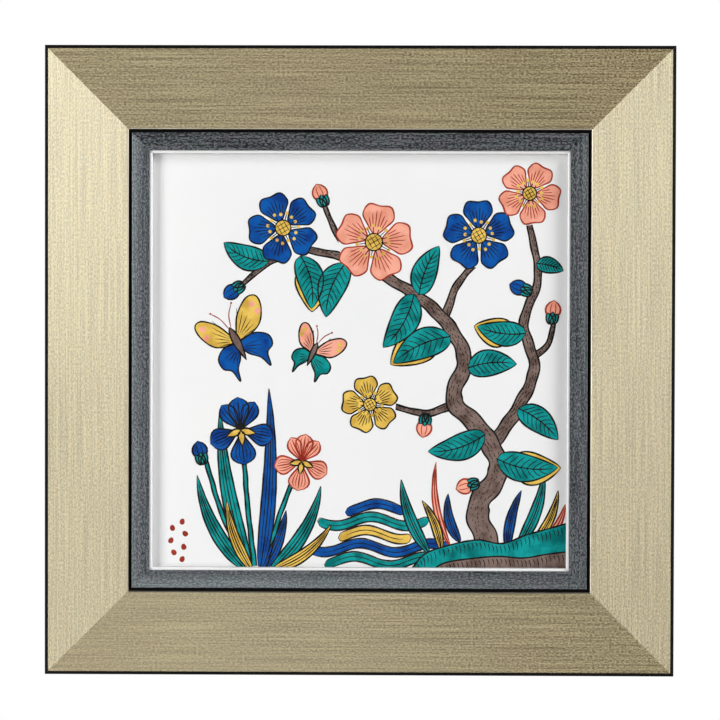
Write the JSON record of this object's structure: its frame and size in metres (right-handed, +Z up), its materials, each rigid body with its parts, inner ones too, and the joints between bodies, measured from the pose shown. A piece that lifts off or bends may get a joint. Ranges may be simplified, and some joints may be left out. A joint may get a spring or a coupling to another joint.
{
  "type": "framed ceramic wall plaque",
  "caption": "Square glazed ceramic tile with an enamel picture, in a wide brushed-gold mitred frame with a slate-grey liner and a silver fillet, made to hang on a nail.",
  "frame": {"origin": "in the plane of the wall, under the middle notch of the toothed hanger, where the nail leaves the wall; 17.75 mm below the top edge and half way across", "axes": "+X runs across the plaque, to the right for someone who looks at the picture; +Z is up; +Y points into the wall, so the picture faces -Y"},
  "size_m": [0.36, 0.0213, 0.36],
  "materials": {
    "gold_moulding": "champagne-gold metallic foil, finely brushed along each length; edges, step and back painted satin black",
    "slate_liner": "slate-grey satin with a fine streaky grain along each length",
    "silver_fillet": "bright silver, polished",
    "white_glaze": "glossy white glaze with a glossy enamel picture in green, blue, yellow, brown and coral",
    "hardboard": "matt brown hardboard",
    "zinc_steel": "zinc-plated, satin"
  },
  "bodies": {
    "root": {"frame_rail_top": "gold_moulding", "frame_rail_right": "gold_moulding", "frame_rail_bottom": "gold_moulding", "frame_rail_left": "gold_moulding", "liner_rail_top": "slate_liner", "liner_rail_right": "slate_liner", "liner_rail_bottom": "slate_liner", "liner_rail_left": "slate_liner", "fillet_top": "silver_fillet", "fillet_right": "silver_fillet", "fillet_bottom": "silver_fillet", "fillet_left": "silver_fillet", "ceramic_tile": "white_glaze", "backing_board": "hardboard", "board_screw_1": "zinc_steel", "board_screw_2": "zinc_steel", "board_screw_3": "zinc_steel", "board_screw_4": "zinc_steel", "board_screw_5": "zinc_steel", "board_screw_6": "zinc_steel", "board_screw_7": "zinc_steel", "board_screw_8": "zinc_steel", "hanger_plate": "zinc_steel", "hanger_screw_left": "zinc_steel", "hanger_screw_right": "zinc_steel"}
  },
  "joints": []
}
